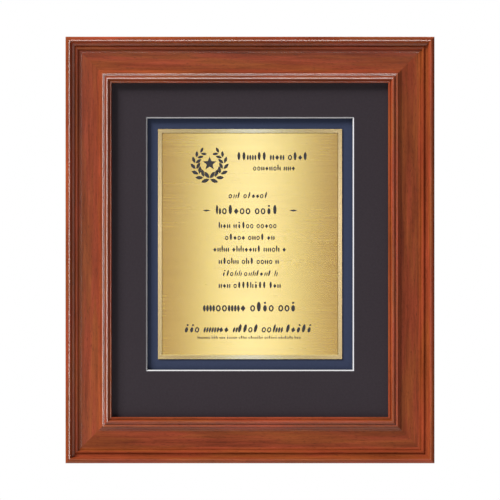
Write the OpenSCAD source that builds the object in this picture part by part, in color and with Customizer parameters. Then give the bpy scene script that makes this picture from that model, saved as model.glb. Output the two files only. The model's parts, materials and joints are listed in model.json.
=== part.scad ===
// Framed award plaque: a bevelled metal plate on a double mat, in a mitred hardwood frame.
// The front faces -Y and +Z is up. The origin is on the wall, behind the middle of the frame.

/* [Plate] */
// Width of the metal plate
plate_w = 203.2; // [120:0.1:300]
// Height of the metal plate
plate_h = 254; // [150:0.1:360]
// Thickness of the metal plate
plate_t = 1.2; // [1:0.1:3]
// Width of the plate's bevelled border
plate_bevel_w = 5; // [2:0.1:10]
// Height left at the plate's outer edge, under the bevel
plate_edge_t = 0.4; // [0.3:0.1:0.9]
// Thickness of the foam tape behind the plate
tape_t = 0.5; // [0.4:0.1:1.5]
// Width of each strip of tape
tape_w = 20; // [10:1:30]
// Number of strips of tape
tape_count = 4; // [2:1:5]
// Distance from the plate's edge to the outermost tape
tape_inset = 14; // [8:1:24]

/* [Mats] */
// Thickness of the mat boards, front and back
mat_t = 1.5; // [1.2:0.1:3]
// Backing mat showing around the plate
reveal = 13.2; // [6:0.1:30]
// Window mat showing at the left and right
mat_side = 37.6; // [25:0.1:80]
// Window mat showing above its window
mat_top = 37.4; // [25:0.1:80]
// Window mat showing below its window
mat_bottom = 50.5; // [25:0.1:100]
// Thickness of the spacers that raise the window mat
spacer_t = 3.2; // [1.6:0.1:6]
// Width of the spacer strips
spacer_w = 28; // [10:1:30]

/* [Moulding] */
// Width of each rail, from the outer edge to the sight edge
rail_w = 50.8; // [42:0.1:80]
// Width of the rabbet that holds the boards
rabbet_w = 6.35; // [5:0.05:10]
// Wood left in front of the rabbet, at the sight edge
lip_t = 4.6; // [3:0.1:8]
// Height of the outer rim above the sight edge
rim_rise = 8.4; // [6:0.1:14]
// Radius of the outer rim
rim_r = 3.2; // [2:0.1:4]
// Radius of the small bead inside the rim
outer_bead_r = 1.9; // [1.2:0.1:2.4]
// Radius of the crest bead, at the inner end of the broad face
crest_bead_r = 1.6; // [1:0.1:2]
// Radius of the bead between the crest and the lip
inner_bead_r = 2.3; // [1.4:0.1:2.8]
// Radius of the lip bead, at the sight edge
lip_bead_r = 1.5; // [1:0.1:2]
// Width of the grooves between beads
groove_w = 0.5; // [0.3:0.1:1]
// Hollow of the broad face at its middle
scoop = 0.3; // [0:0.1:1.5]

/* [Back] */
// Thickness of the foam-centre filler board
filler_t = 4.8; // [3:0.1:8]
// Thickness of the hardboard back panel
panel_t = 3; // [2:0.1:5]
// Gap between the boards' edges and the rabbet, on each side
board_gap = 0.8; // [0.3:0.1:2]
// Thickness of the rubber bumpers, which is the gap to the wall
bumper_t = 4.8; // [4.4:0.1:8]
// Radius of the rubber bumpers
bumper_r = 6; // [4:0.1:8]
// Distance from the frame's side to the bumpers
bumper_side = 60; // [50:1:90]
// Distance from the frame's top and bottom edge to the bumpers
bumper_edge = 18; // [10:1:24]

/* [Corner joints] */
// Length of each leg of a V-nail
vnail_leg = 6; // [4:0.1:8]
// Thickness of a V-nail
vnail_t = 0.8; // [0.5:0.1:1.2]
// Depth that the V-nails are driven in
vnail_depth = 10; // [7:0.1:12]
// Distance from the outer edges to the outer V-nail of a corner
vnail_outer = 13; // [11:0.1:16]
// Distance from the outer V-nail to the inner one
vnail_pitch = 18; // [10:0.1:22]

/* [Turn buttons] */
// Thickness of a turn button
button_t = 1.2; // [0.8:0.1:1.6]
// Half the width of a turn button
button_r = 5; // [4:0.1:7]
// Distance from a turn button's screw to the middle of its round tip
button_reach = 16; // [14:0.1:24]
// Distance from the rabbet to the turn buttons' screws
button_setback = 9; // [7:0.1:14]
// Height of the side turn buttons above and below the middle
button_rise = 120; // [60:1:150]

/* [Hangers] */
// Width of a hanger strap
strap_w = 10; // [8:0.1:14]
// Thickness of a hanger strap, which is two layers of sheet
strap_t = 1.6; // [1:0.1:2]
// Thickness of the single layer around the ring
strap_sheet = 0.7; // [0.5:0.1:1]
// Distance from the ring's hinge to the first strap screw
strap_screw = 10; // [8:0.1:14]
// Distance between the two strap screws
strap_pitch = 11; // [8:0.1:14]
// Distance from the rabbet to the ring's hinge
ring_setback = 7; // [5:0.1:12]
// Height of the hangers above the middle of the frame
hanger_rise = 78; // [40:1:100]
// Radius of the ring's wire
wire_r = 1.1; // [0.8:0.05:1.2]
// Radius of the ring's corners, to the middle of the wire
ring_corner_r = 2; // [1.5:0.1:3]
// Straight length between a corner and the bow
ring_leg = 2; // [1:0.1:5]

/* [Screws] */
// Radius of the screws' shanks
shank_r = 1.4; // [1:0.05:2]
// Length of the shanks in the wood
shank_depth = 11; // [8:0.1:14]
// Radius of the screws' heads
head_r = 3; // [2.4:0.05:4]
// Height of the screws' heads
head_t = 1.7; // [1.2:0.1:2.2]
// Width of the slots of the cross recess
recess_w = 0.8; // [0.5:0.1:1.2]
// Depth of the cross recess
recess_d = 0.9; // [0.5:0.1:1.2]

/* [Fits] */
// Radial gap between a screw and its hole in the wood or a strap
screw_fit = 0.03; // [0:0.01:0.1]
// Radial gap between a turning piece and what it turns on
running_fit = 0.08; // [0.02:0.01:0.1]
// Play of a turn button between the wood and its screw's head
button_play = 0.1; // [0.05:0.01:0.3]
// Gap at each end of a strap's barrel, inside the ring
ring_play = 0.6; // [0.3:0.1:2]

/* [Hidden] */
$fn = 48;

// Window, sight opening and frame, worked outwards from the plate
window_w = plate_w + 2 * reveal;
window_h = plate_h + 2 * reveal;
sight_w = window_w + 2 * mat_side;
sight_h = window_h + mat_top + mat_bottom;
frame_w = sight_w + 2 * rail_w;
frame_h = sight_h + 2 * rail_w;
window_z = (mat_bottom - mat_top) / 2;

// Boards, which lie in the rabbet
board_w = sight_w + 2 * (rabbet_w - board_gap);
board_h = sight_h + 2 * (rabbet_w - board_gap);

// Heights above the frame's back plane, from the panel forwards
filler_z = panel_t;
backing_z = filler_z + filler_t;
spacer_z = backing_z + mat_t;
window_mat_z = spacer_z + spacer_t;
rabbet_d = window_mat_z + mat_t;
lip_top = rabbet_d + lip_t;
rail_t = lip_top + rim_rise;
plate_z = spacer_z + tape_t;

// The frame's back plane stands off the wall by the bumpers
back_y = -bumper_t;
over = 1;

// Moulding from the outer edge inwards: ledge under the rim, bead, fillet, then the broad face
ledge_w = 2.2;
ledge_drop = 5.6;
fillet_w = 1.6;
fillet_drop = 7.4;
face_drop = 8.2;
slant = 0.6;
ledge_u = 2 * rim_r + 1;
bead_u = ledge_u + ledge_w + groove_w + outer_bead_r;
fillet_u = bead_u + outer_bead_r + 2 * groove_w;
face_u0 = fillet_u + fillet_w + slant;

// Moulding from the sight edge outwards: lip bead, inner bead, crest bead, neck
inner_rise = 1.6;
crest_rise = 2.2;
neck_w = 1.6;
face_rise = 1.3;
lip_u = rail_w - lip_bead_r;
inner_u = lip_u - lip_bead_r - groove_w - inner_bead_r;
crest_u = inner_u - inner_bead_r - groove_w - crest_bead_r;
neck_u = crest_u - crest_bead_r - neck_w;
face_u1 = neck_u - slant;

// Hardware places
rabbet_edge = rail_w - rabbet_w;
button_u = rabbet_edge - button_setback;
ring_u = rabbet_edge - ring_setback;
barrel_r = wire_r + running_fit + strap_sheet;
strap_end = strap_screw + strap_pitch + strap_w / 2;
bar_half = strap_w / 2 + ring_play;
bow_r = bar_half + ring_corner_r;
button_seat = button_t + 2 * button_play;
vnail_places = [vnail_outer, vnail_outer + vnail_pitch];

// Turn buttons: middle of the screw (x, z), and the angle that the tip points at
button_x = frame_w / 2 - button_u;
button_z = frame_h / 2 - button_u;
BUTTONS = [
    [0, button_z, -90],
    [0, -button_z, 90],
    [-button_x, button_rise, 0],
    [-button_x, -button_rise, 0],
    [button_x, button_rise, 180],
    [button_x, -button_rise, 180]
];

function arc(center, r, from, to, steps = 10) =
    [for (i = [0:steps]) center + r * [cos(from + (to - from) * i / steps), sin(from + (to - from) * i / steps)]];

// Hollow face between the two groups of beads
function hollow(a, b, depth, steps = 12) =
    [for (i = [1:steps - 1]) let (t = i / steps) a + (b - a) * t - [0, 4 * depth * t * (1 - t)]];

// Turns (x, height) on the back plane into place: heights above 0 go into the wood
module into_wood(h = 0) {
    translate([0, back_y - h, 0]) rotate([90, 0, 0]) children();
}

// Heights above 0 go towards the wall
module towards_wall(h = 0) {
    translate([0, back_y + h, 0]) rotate([-90, 0, 0]) mirror([0, 1, 0]) children();
}

module rail_section() {
    face_a = [face_u0, rail_t - face_drop];
    face_b = [face_u1, lip_top + face_rise];
    polygon(concat(
        [[0, 0]],
        arc([rim_r, rail_t - rim_r], rim_r, 180, 15, 14),
        [[ledge_u, rail_t - ledge_drop]],
        [[ledge_u + ledge_w, rail_t - ledge_drop - 0.2]],
        arc([bead_u, rail_t - fillet_drop + 0.5], outer_bead_r, 165, 15),
        [[fillet_u - groove_w, rail_t - fillet_drop - 0.2]],
        [[fillet_u, rail_t - fillet_drop]],
        [[fillet_u + fillet_w, rail_t - fillet_drop - 0.1]],
        [face_a],
        hollow(face_a, face_b, scoop),
        [face_b],
        [[neck_u, lip_top + crest_rise]],
        arc([crest_u, lip_top + crest_rise], crest_bead_r, 165, 10),
        arc([inner_u, lip_top + inner_rise], inner_bead_r, 160, 20),
        arc([lip_u, lip_top], lip_bead_r, 140, 0),
        [[rail_w, rabbet_d]],
        [[rabbet_edge, rabbet_d]],
        [[rabbet_edge, 0]]
    ));
}

// A rail as it lies at the top: length along X, outer edge at height half_span
module rail(length, half_span) {
    inner = length / 2 - rail_w - over;
    intersection() {
        translate([0, back_y, half_span]) rotate([180, 90, 0])
            linear_extrude(length, center = true) rail_section();
        into_wood(-over) linear_extrude(rail_t + 2 * over) polygon([
            [-length / 2 - over, half_span + over],
            [length / 2 + over, half_span + over],
            [inner, half_span - rail_w - over],
            [-inner, half_span - rail_w - over]
        ]);
    }
}

module drilled_rail(turn, length, half_span) {
    color("#8f4329") difference() {
        rotate([0, turn, 0]) rail(length, half_span);
        v_nail_group();
        button_places() pilot_hole();
        hanger_screw_places() pilot_hole();
    }
}

module pilot_hole() {
    rotate([90, 0, 0]) translate([0, 0, -over])
        cylinder(r = shank_r + screw_fit, h = shank_depth + over);
}

module v_nail_group() {
    c = cos(45);
    for (sx = [-1, 1], sz = [-1, 1], u = vnail_places)
        translate([sx * (frame_w / 2 - u), 0, sz * (frame_h / 2 - u)]) into_wood()
            linear_extrude(vnail_depth) rotate(atan2(sz, sx)) polygon([
                [0, 0],
                [-vnail_leg * c, vnail_leg * c],
                [-(vnail_leg + vnail_t) * c, (vnail_leg - vnail_t) * c],
                [-2 * vnail_t * c, 0],
                [-(vnail_leg + vnail_t) * c, (vnail_t - vnail_leg) * c],
                [-vnail_leg * c, -vnail_leg * c]
            ]);
}

module board(t, z) {
    into_wood(z) linear_extrude(t) square([board_w, board_h], center = true);
}

// Slab with sloping edges: w by h at its base, and in by `slope` on every side at height t
module sloped_slab(w, h, t, edge, slope) {
    intersection() {
        rotate([90, 0, 0]) linear_extrude(h + 2 * over, center = true) slab_side(w, t, edge, slope);
        rotate([90, 0, 90]) linear_extrude(w + 2 * over, center = true) slab_side(h, t, edge, slope);
    }
}

module slab_side(w, t, edge, slope) {
    polygon([
        [-w / 2, 0], [w / 2, 0], [w / 2, edge], [w / 2 - slope, t],
        [slope - w / 2, t], [-w / 2, edge]
    ]);
}

// The window's edge slopes at 45 degrees, and is widest at the front
module window_mat() {
    color("#3a3539") difference() {
        board(mat_t, window_mat_z);
        translate([0, 0, window_z]) into_wood(rabbet_d + over) mirror([0, 0, 1])
            sloped_slab(window_w, window_h, mat_t + 2 * over, over, mat_t + over);
    }
}

module spacer(w, h) {
    color("#e9e7e2") into_wood(spacer_z) linear_extrude(spacer_t) square([w, h], center = true);
}

module spacer_top() {
    translate([0, 0, (board_h - spacer_w) / 2]) spacer(board_w, spacer_w);
}

module spacer_bottom() {
    translate([0, 0, (spacer_w - board_h) / 2]) spacer(board_w, spacer_w);
}

module spacer_left() {
    translate([(spacer_w - board_w) / 2, 0, 0]) spacer(spacer_w, board_h - 2 * spacer_w);
}

module spacer_right() {
    translate([(board_w - spacer_w) / 2, 0, 0]) spacer(spacer_w, board_h - 2 * spacer_w);
}

module backing_mat() {
    color("#3a4462") board(mat_t, backing_z);
}

module plate() {
    color("#d9b565") translate([0, 0, window_z]) into_wood(plate_z)
        sloped_slab(plate_w, plate_h, plate_t, plate_edge_t, plate_bevel_w);
}

module plate_tape() {
    span = plate_w - 2 * tape_inset - tape_w;
    color("#d8d4c8") for (i = [0:tape_count - 1])
        translate([span * (i / (tape_count - 1) - 0.5), 0, window_z]) into_wood(spacer_z)
            linear_extrude(tape_t) square([tape_w, plate_h - 2 * tape_inset], center = true);
}

module filler_board() {
    color("#f0eee8") board(filler_t, filler_z);
}

module back_panel() {
    color("#7a5235") board(panel_t, 0);
}

// Screw with its head seated at the origin; the head points to the wall
module screw(depth) {
    rotate([-90, 0, 0]) difference() {
        rotate_extrude() polygon([
            [0, -depth], [shank_r, -depth + 2 * shank_r], [shank_r, 0], [head_r, 0],
            [head_r, head_t * 0.4], [head_r * 0.6, head_t], [0, head_t]
        ]);
        translate([0, 0, head_t - recess_d]) linear_extrude(head_t) {
            square([head_r, recess_w], center = true);
            square([recess_w, head_r], center = true);
        }
    }
}

module button_places() {
    for (b = BUTTONS) translate([b[0], back_y, b[1]]) children();
}

// Flat finger, round at both ends, that turns on its screw
module turn_button(i) {
    b = BUTTONS[i];
    color("#c9c6bd") translate([b[0], 0, b[1]]) towards_wall(button_play) difference() {
        linear_extrude(button_t) rotate(b[2]) {
            circle(button_r);
            translate([button_reach, 0]) circle(button_r);
            translate([0, -button_r]) square([button_reach, 2 * button_r]);
        }
        translate([0, 0, -over]) cylinder(r = shank_r + running_fit, h = button_t + 2 * over);
    }
}

module turn_button_screws() {
    color("#cfcdc6") button_places() translate([0, button_seat, 0])
        screw(shank_depth + button_seat - shank_r);
}

// Left hanger's hinge at the origin of its children; the right one is its mirror image
module at_hanger(side) {
    mirror([side > 0 ? 1 : 0, 0, 0]) translate([ring_u - frame_w / 2, back_y + barrel_r, hanger_rise])
        children();
}

module hanger_screw_places() {
    for (side = [-1, 1], i = [0, 1]) at_hanger(side)
        translate([-strap_screw - strap_pitch * i, -barrel_r, 0]) children();
}

// Strap folded round the ring's straight bar and screwed to the rail
module hanger(side) {
    color("#c4c2ba") at_hanger(side) difference() {
        union() {
            cylinder(r = barrel_r, h = strap_w, center = true);
            translate([0, -barrel_r, 0]) rotate([-90, 0, 0]) linear_extrude(strap_t) {
                translate([strap_w / 2 - strap_end, 0]) circle(strap_w / 2);
                translate([strap_w / 2 - strap_end, -strap_w / 2])
                    square([strap_end - strap_w / 2, strap_w]);
            }
        }
        cylinder(r = wire_r + running_fit, h = strap_w + 2 * over, center = true);
        for (i = [0, 1]) translate([-strap_screw - strap_pitch * i, 0, 0]) rotate([90, 0, 0])
            cylinder(r = shank_r + screw_fit, h = 4 * barrel_r, center = true);
    }
}

module wire_bend(center, r, from, sweep) {
    translate([center[0], 0, center[1]]) rotate([90, 0, 0]) rotate(from)
        rotate_extrude(angle = sweep) translate([r, 0]) circle(wire_r);
}

// Ring of round wire: a straight bar in the strap, two corners, two legs and a bow
module d_ring(side) {
    bow_x = ring_corner_r + ring_leg;
    color("#d2d0c8") at_hanger(side) {
        cylinder(r = wire_r, h = 2 * bar_half, center = true);
        wire_bend([ring_corner_r, bar_half], ring_corner_r, 90, 90);
        wire_bend([ring_corner_r, -bar_half], ring_corner_r, 180, 90);
        for (s = [-1, 1]) translate([ring_corner_r, 0, s * bow_r]) rotate([0, 90, 0])
            cylinder(r = wire_r, h = ring_leg);
        wire_bend([bow_x, 0], bow_r, -90, 180);
    }
}

module hanger_screws() {
    color("#cfcdc6") hanger_screw_places() translate([0, strap_t, 0])
        screw(shank_depth + strap_t - shank_r);
}

module bumpers() {
    soft = bumper_t / 4;
    color("#2c2c2e") for (sx = [-1, 1], sz = [-1, 1])
        translate([sx * (frame_w / 2 - bumper_side), 0, sz * (frame_h / 2 - bumper_edge)])
            towards_wall() rotate_extrude() polygon([
                [0, 0], [bumper_r, 0], [bumper_r, bumper_t - soft],
                [bumper_r - soft, bumper_t], [0, bumper_t]
            ]);
}

drilled_rail(0, frame_w, frame_h / 2);  // rail_top
drilled_rail(180, frame_w, frame_h / 2);  // rail_bottom
drilled_rail(-90, frame_h, frame_w / 2);  // rail_left
drilled_rail(90, frame_h, frame_w / 2);  // rail_right
color("#9a9a9c") v_nail_group();  // v_nails
window_mat();
spacer_top();
spacer_bottom();
spacer_left();
spacer_right();
backing_mat();
plate();
plate_tape();
filler_board();
back_panel();
turn_button(0);  // turn_button_top
turn_button(1);  // turn_button_bottom
turn_button(2);  // turn_button_left_upper
turn_button(3);  // turn_button_left_lower
turn_button(4);  // turn_button_right_upper
turn_button(5);  // turn_button_right_lower
turn_button_screws();
hanger(-1);  // hanger_left
hanger(1);  // hanger_right
d_ring(-1);  // d_ring_left
d_ring(1);  // d_ring_right
hanger_screws();
bumpers();
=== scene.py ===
# %% [markdown]
# # A framed award plaque
# A gold-coloured metal plate lies on a blue mat, inside the window of a black mat, in a mitred
# hardwood frame that hangs on two D-rings. The engineering model already fixes every size and
# every moving part. This lesson dresses it: each piece is rebuilt with the detail that the eye
# expects, in the same place, or keeps the fixed model's shape where that is already right, and
# gets a finish made only of nodes.

# %% Load the fixed frame
import json
import math
import random

import bmesh
import bpy
from mathutils import Matrix, Vector


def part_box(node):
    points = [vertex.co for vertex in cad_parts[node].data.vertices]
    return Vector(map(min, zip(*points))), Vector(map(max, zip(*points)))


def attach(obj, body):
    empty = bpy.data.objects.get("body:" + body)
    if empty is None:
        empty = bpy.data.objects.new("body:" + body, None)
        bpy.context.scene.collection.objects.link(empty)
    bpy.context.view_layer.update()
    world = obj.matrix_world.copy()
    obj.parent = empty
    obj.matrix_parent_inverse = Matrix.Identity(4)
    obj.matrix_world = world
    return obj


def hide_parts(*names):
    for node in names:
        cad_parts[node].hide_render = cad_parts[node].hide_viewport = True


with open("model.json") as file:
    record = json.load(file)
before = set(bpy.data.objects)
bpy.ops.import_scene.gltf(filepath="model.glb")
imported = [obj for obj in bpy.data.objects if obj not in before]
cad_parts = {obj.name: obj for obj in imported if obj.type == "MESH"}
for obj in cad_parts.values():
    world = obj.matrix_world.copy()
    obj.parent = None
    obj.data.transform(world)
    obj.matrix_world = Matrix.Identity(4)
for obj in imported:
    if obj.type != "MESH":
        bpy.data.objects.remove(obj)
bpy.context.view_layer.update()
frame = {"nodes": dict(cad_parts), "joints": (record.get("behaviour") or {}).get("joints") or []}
mm = 0.001

# %% [markdown]
# Every place in this file comes from the boxes of the fixed model's nodes or from its hinges, so
# nothing has to be lined up by eye. `Y` runs into the wall, and the frame's flat back is the
# plane from which the depths of the boards are counted.

# %% Places read from the frame
box = {name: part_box(name) for name in frame["nodes"]}
hinge = {j["child"]: Vector(j["pos_m"]) for j in frame["joints"]}
back_y = box["rail_left"][1].y
rail_w = box["rail_left"][1].x - box["rail_left"][0].x
rail_t = back_y - box["rail_left"][0].y
frame_w = 2 * box["rail_right"][1].x
frame_h = 2 * box["rail_top"][1].z
rabbet_d = back_y - box["window_mat"][0].y
plate_mid = (box["plate"][0] + box["plate"][1]) / 2
print("frame %.1f x %.1f mm, rails %.1f x %.1f mm" % (frame_w / mm, frame_h / mm, rail_w / mm, rail_t / mm))

# %% [markdown]
# A product picture of a flat object is taken square on, from far away with a long lens, so that
# the sides of the frame stay parallel. The camera is set first, because it decides how much
# detail each piece needs.

# %% Camera
view_width = 0.5515
lens = 600
film = 36
distance = view_width / 2 / (film / 2 / lens)
camera = bpy.data.objects.new("camera", bpy.data.cameras.new("camera"))
camera.data.lens = lens
camera.data.sensor_width = film
camera.data.clip_start = 0.05
camera.location = (0, box["plate"][0].y - distance, 0)
camera.rotation_euler = (math.radians(90), 0, 0)
bpy.context.scene.collection.objects.link(camera)
bpy.context.scene.camera = camera
bpy.context.scene.view_settings.view_transform = "Standard"
print("camera stands %.2f m away" % distance)

# %% [markdown]
# The light is a studio's. One soft lamp high on the left draws the shadows of the frame and of
# the mat's window, and it only lights matt surfaces. Everything glossy shows what it mirrors, so
# the plate and the rails each get their own cards, as a photographer would hold them up: a wide
# and a narrow upright one for the bright band down the plate, a warm one behind them, one for
# each side of its border, and one across from each rail that draws a line along every bead.

# %% Lights
def soft_light(name, place, size, brightness, color=(1, 1, 1)):
    """Rectangular lamp turned to a point, whose power follows from how bright it looks."""
    lamp = bpy.data.lights.new(name, "AREA")
    lamp.shape = "RECTANGLE"
    lamp.size, lamp.size_y = size
    lamp.energy = brightness * math.pi * size[0] * size[1]
    lamp.color = color
    made = bpy.data.objects.new(name, lamp)
    made.location = place
    made.rotation_euler = (-Vector(place)).to_track_quat("-Z", "Y").to_euler()
    made.visible_camera = False
    bpy.context.scene.collection.objects.link(made)
    return made


def card(seen_by, *how):
    """Lamp that one piece sees, and only as a reflection."""
    made = soft_light(*how)
    made.visible_diffuse = False
    group = bpy.data.collections.get("sees_" + seen_by) or bpy.data.collections.new("sees_" + seen_by)
    made.light_linking.receiver_collection = group


def let_see(piece, name):
    """Add a piece to those that see the cards under a name, when there are any."""
    group = bpy.data.collections.get("sees_" + name)
    if group:
        group.objects.link(piece)


key_from = Vector((-0.63, -0.385, 0.675)).normalized() * 5.5
soft_light("key_light", key_from, (1.5, 1.5), 58, (1, 0.985, 0.97)).visible_glossy = False
card("plate", "warm_front", (0, -3.3, 0), (1.0, 1.3), 0.18, (1, 0.2, 0.02))
card("plate", "wide_band", (0.001, -1.45, 0.03), (0.14, 1.2), 1.9, (0.51, 0.78, 1))
card("plate", "bright_band", (0.001, -1.38, 0.03), (0.05, 1.2), 5.0, (0.08, 0.12, 1))
for side in (-1, 1):
    card("plate", "border_card", (0.8 * side, -3.3, 0), (0.5, 1.4), 1.25 + 0.10 * side, (1, 1, 1.7))
    card("plate", "border_spot", (0.8 * side, -3.25, 0.12), (0.45, 0.18), 2.6, (1, 1, 1.5))
for upright, level, sign, amount in (("left", "top", 1, 19), ("right", "bottom", -1, 1.6)):
    card(upright, "bead_card", (0.54 * sign, -1.20, 0), (0.84, 2.6), amount, (1, 0.90, 0.86))
    card(level, "bead_card", (0, -1.20, -0.52 * sign), (2.6, 0.84), amount, (1, 0.90, 0.86))
soft_light("back_light", (0.9, 1.9, 1.5), (1.4, 1.4), 6.5, (0.97, 0.98, 1))

# %% [markdown]
# The world is white for the eye and much dimmer as a light, so that the ground stays clean and
# the mouldings keep their shadows.

# %% World
world = bpy.data.worlds.new("studio")
bpy.context.scene.world = world
world.use_nodes = True
sky = world.node_tree
seen = sky.nodes.new("ShaderNodeLightPath")
brightness = sky.nodes.new("ShaderNodeMapRange")
brightness.inputs["To Min"].default_value = 0.155
brightness.inputs["To Max"].default_value = 1.0
sky.links.new(seen.outputs["Is Camera Ray"], brightness.inputs["Value"])
sky.links.new(brightness.outputs["Result"], sky.nodes["Background"].inputs["Strength"])
sky.nodes["Background"].inputs["Color"].default_value = (1, 1, 1, 1)

# %% [markdown]
# Shader trees and geometry trees are both made of nodes with inputs. One helper adds a node to
# the tree being built and fills its inputs. What it returns can be added and multiplied, which
# adds Math nodes, so that each tree below reads like the formula that it stands for.

# %% Node helpers
building = {}


class Flow:
    """An output of a node; sums and products of it are Math nodes in the same tree."""

    def __init__(self, socket):
        self.socket = socket

    def __getitem__(self, name):
        return Flow(self.socket.node.outputs[name])

    def __add__(self, other):
        return calculate("ADD", self, other)

    def __sub__(self, other):
        return calculate("SUBTRACT", self, other)

    def __mul__(self, other):
        return calculate("MULTIPLY", self, other)

    def __truediv__(self, other):
        return calculate("DIVIDE", self, other)


def fill(sockets, values):
    """Link or set inputs, given by name or number."""
    for key, value in values.items():
        if isinstance(value, Flow):
            building["tree"].links.new(value.socket, sockets[key])
        else:
            sockets[key].default_value = value


def node(kind, inputs=None, **settings):
    """Add a node, a shader one unless `kind` says more, with its properties and its inputs."""
    made = building["tree"].nodes.new(kind if "Node" in kind else "ShaderNode" + kind)
    for name, value in settings.items():
        setattr(made, name, value)
    fill(made.inputs, inputs or {})
    return Flow(made.outputs[0])


def start_tree(name, kind, inputs, outputs):
    """Start a node group with sockets of (name, kind, default if any)."""
    tree = building["tree"] = bpy.data.node_groups.new(name, kind)
    for side, sockets in (("INPUT", inputs), ("OUTPUT", outputs)):
        for label, socket_kind, *default in sockets:
            socket = tree.interface.new_socket(label, in_out=side, socket_type="NodeSocket" + socket_kind)
            if default:
                socket.default_value = default[0]
    return tree, Flow(tree.nodes.new("NodeGroupInput").outputs[0]), tree.nodes.new("NodeGroupOutput").inputs


def shader_group(name, inputs, outputs):
    """Start a shader group that reads a Vector and these other inputs."""
    return start_tree(name, "ShaderNodeTree", [("Vector", "Vector")] + inputs, outputs)


def use_group(group, vector, **inputs):
    """Place a shader group in a material, with its own values."""
    named = {key.replace("_", " "): value for key, value in inputs.items()}
    return node("Group", {"Vector": vector, **named}, node_tree=group)


def calculate(operation, a, b=0.0):
    """One step of arithmetic."""
    return node("Math", {0: a, 1: b}, operation=operation)


def noise(vector, waves, detail=3.0, roughness=0.5, distortion=0.0):
    """Noise of about 0 to 1, with so many waves a metre, along all axes or along each."""
    waves = waves if isinstance(waves, tuple) else (waves,) * 3
    scaled = node("VectorMath", {0: vector, 1: waves}, operation="MULTIPLY")
    return node("TexNoise", {"Vector": scaled, "Scale": 1.0, "Detail": detail, "Roughness": roughness,
                             "Distortion": distortion})["Fac"]


def spread(value, low, high, to_low=0.0, to_high=1.0):
    """Stretch the span low..high of a value over to_low..to_high, and clamp it there."""
    return node("MapRange", {"Value": value, "From Min": low, "From Max": high,
                             "To Min": to_low, "To Max": to_high})["Result"]


def mix_color(factor, a, b, blend="MIX"):
    """Mix two colours by a factor."""
    return node("Mix", {0: factor, 6: a, 7: b}, data_type="RGBA", blend_type=blend)[2]


def tinted(color, tone):
    """A colour times a tone."""
    return mix_color(1.0, color, tone, "MULTIPLY")


def gray(value):
    """The same value in all three channels."""
    return node("CombineColor", {0: value, 1: value, 2: value})


def tone_near_one(value, contrast):
    """Turn a value round 0.5 into a tone round 1."""
    return gray((value - 0.5) * contrast + 1.0)


def bump(height, depth, strength=0.5):
    """Normal of a surface whose height of 0 to 1 is `depth` metres deep."""
    return node("Bump", {"Height": height, "Distance": depth, "Strength": strength})


def new_material(name):
    """Start a material; gives it, its shader's inputs, and the object's own coordinates."""
    material = bpy.data.materials.new(name)
    material.use_nodes = True
    building["tree"] = material.node_tree
    return material, material.node_tree.nodes["Principled BSDF"].inputs, node("TexCoord")["Object"]

# %% [markdown]
# Timber is the same all through: long fibres, wandering bands of darker and lighter growth, and
# short dark pores. So its figure is a solid texture with X along the fibres, and every cut
# through it, a bead or an end, shows the right grain. It is a group, because the lacquered
# front and the raw back use it with their own colours.

# %% Timber figure group
def build_timber_figure():
    """Colour, height and polish of timber whose fibres run along X of the vector."""
    group, given, out = shader_group("timber_figure", [
        ("Pale", "Color", (0.3, 0.1, 0.04, 1)), ("Blush", "Color", (0.3, 0.06, 0.03, 1)),
        ("Deep", "Color", (0.1, 0.03, 0.01, 1)), ("Pore", "Color", (0.03, 0.01, 0.005, 1)),
        ("Pore Amount", "Float", 0.5),
    ], [("Color", "Color"), ("Height", "Float"), ("Dullness", "Float")])
    place = given["Vector"]
    bands = noise(place, (5, 85, 85), 4, 0.55, 0.9)
    figure = noise(place, (16, 330, 330), 3, 0.6, 0.4)
    fibres = noise(place, (55, 1500, 1500), 2, 0.6)
    cloud = noise(place, (9, 14, 14), 2)
    drift = spread(noise(place, (11, 120, 120), 2), 0.40, 0.60)
    pores = spread(noise(place, (190, 2600, 2600), 1), 0.60, 0.72) * given["Pore Amount"]
    tone = spread(bands * 0.55 + figure * 0.45, 0.34, 0.64)
    wood = mix_color(tone, given["Deep"], mix_color(drift, given["Pale"], given["Blush"]))
    shade = spread(fibres, 0.3, 0.7, 0.86, 1.08) + spread(cloud, 0.3, 0.7, -0.10, 0.10)
    fill(out, {"Color": mix_color(pores, tinted(wood, gray(shade)), given["Pore"]),
               "Height": fibres * 0.35 - pores, "Dullness": spread(figure, 0.3, 0.7)})
    return group


timber_figure = build_timber_figure()
print("timber figure group has", len(timber_figure.nodes), "nodes")

# %% [markdown]
# Handling leaves faint smears and fine scratches on everything that shines. The group gives a
# mask of each, and the lacquer, the plate and the small metal parts take as much as they need.

# %% Handling group
def build_handling():
    """Smears and fine scratches, as masks of 0 to 1."""
    group, given, out = shader_group("handling", [("Scratches", "Float", 0.5)],
                                     [("Smear", "Float"), ("Scratch", "Float")])
    place = given["Vector"]
    turned = node("Mapping", {"Vector": place, "Rotation": (0.4, 0.7, 0.5)})
    lines = spread(noise(turned, (30, 30, 2400), 2), 0.66, 0.72)
    broken = spread(noise(place, 60, 2), 0.5, 0.62)
    fill(out, {"Smear": spread(noise(place, 22, 4, 0.6, 1.2), 0.45, 0.75),
               "Scratch": lines * broken * given["Scratches"]})
    return group


handling = build_handling()
print("handling group has", len(handling.nodes), "nodes")

# %% [markdown]
# The front of the frame is stained a red mahogany colour and sprayed with a satin lacquer. The
# stain is the base colour; the lacquer is the shader's coat, which stays smooth where the wood
# under it is grained. It is rubbed to a gloss on the inner beads, less on the rim, and left dull
# in the channel between them, where a rubbing pad does not reach. Each rail is cut from another
# place in the plank, so each gets its own shift, and the upright rails are turned so that the
# fibres run along them.

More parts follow.
